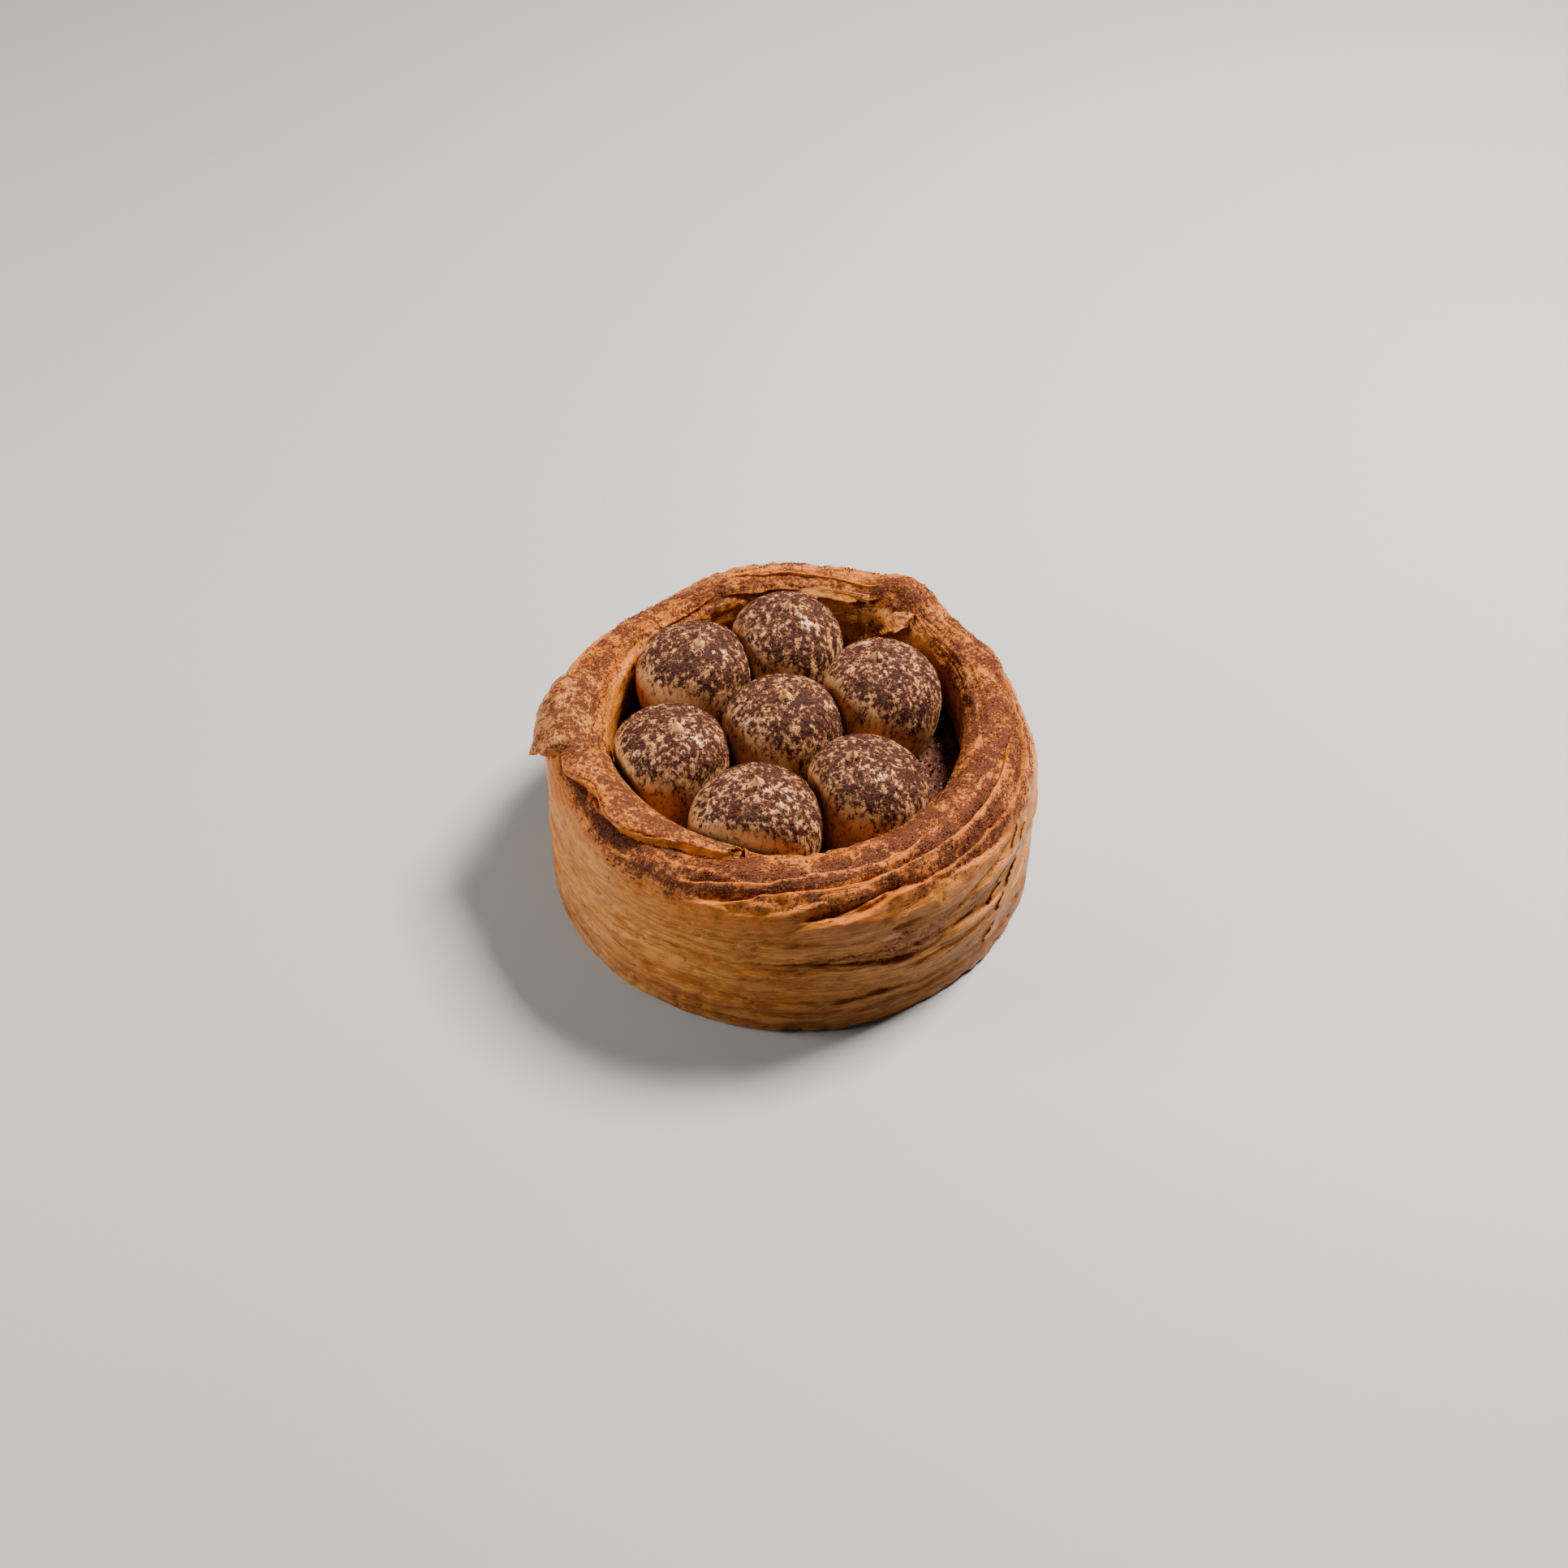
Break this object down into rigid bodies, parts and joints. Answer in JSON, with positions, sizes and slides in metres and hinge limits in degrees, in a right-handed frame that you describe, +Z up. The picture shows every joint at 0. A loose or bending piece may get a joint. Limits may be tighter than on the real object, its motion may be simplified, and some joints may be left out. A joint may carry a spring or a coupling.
{
  "type": "tiramisu tart",
  "caption": "Round ring-baked tart: a rolled, laminated dough case that holds a filling and a cluster of piped cream domes dusted with cocoa.",
  "frame": {"origin": "centre of the tart's flat base", "axes": "+Z up out of the filling, -Y towards the front, +X to the right as seen from the front"},
  "size_m": [0.0954, 0.095, 0.0439],
  "materials": {
    "pastry": "golden-brown baked dough, satin, dusted with cocoa round the rim",
    "filling": "matt, covered with cocoa",
    "cream": "satin coffee cream, speckled with cocoa"
  },
  "bodies": {
    "root": {"pastry_case": "pastry", "filling": "filling", "cream_dome_1": "cream", "cream_dome_2": "cream", "cream_dome_3": "cream", "cream_dome_4": "cream", "cream_dome_5": "cream", "cream_dome_6": "cream", "cream_dome_7": "cream"}
  },
  "joints": []
}
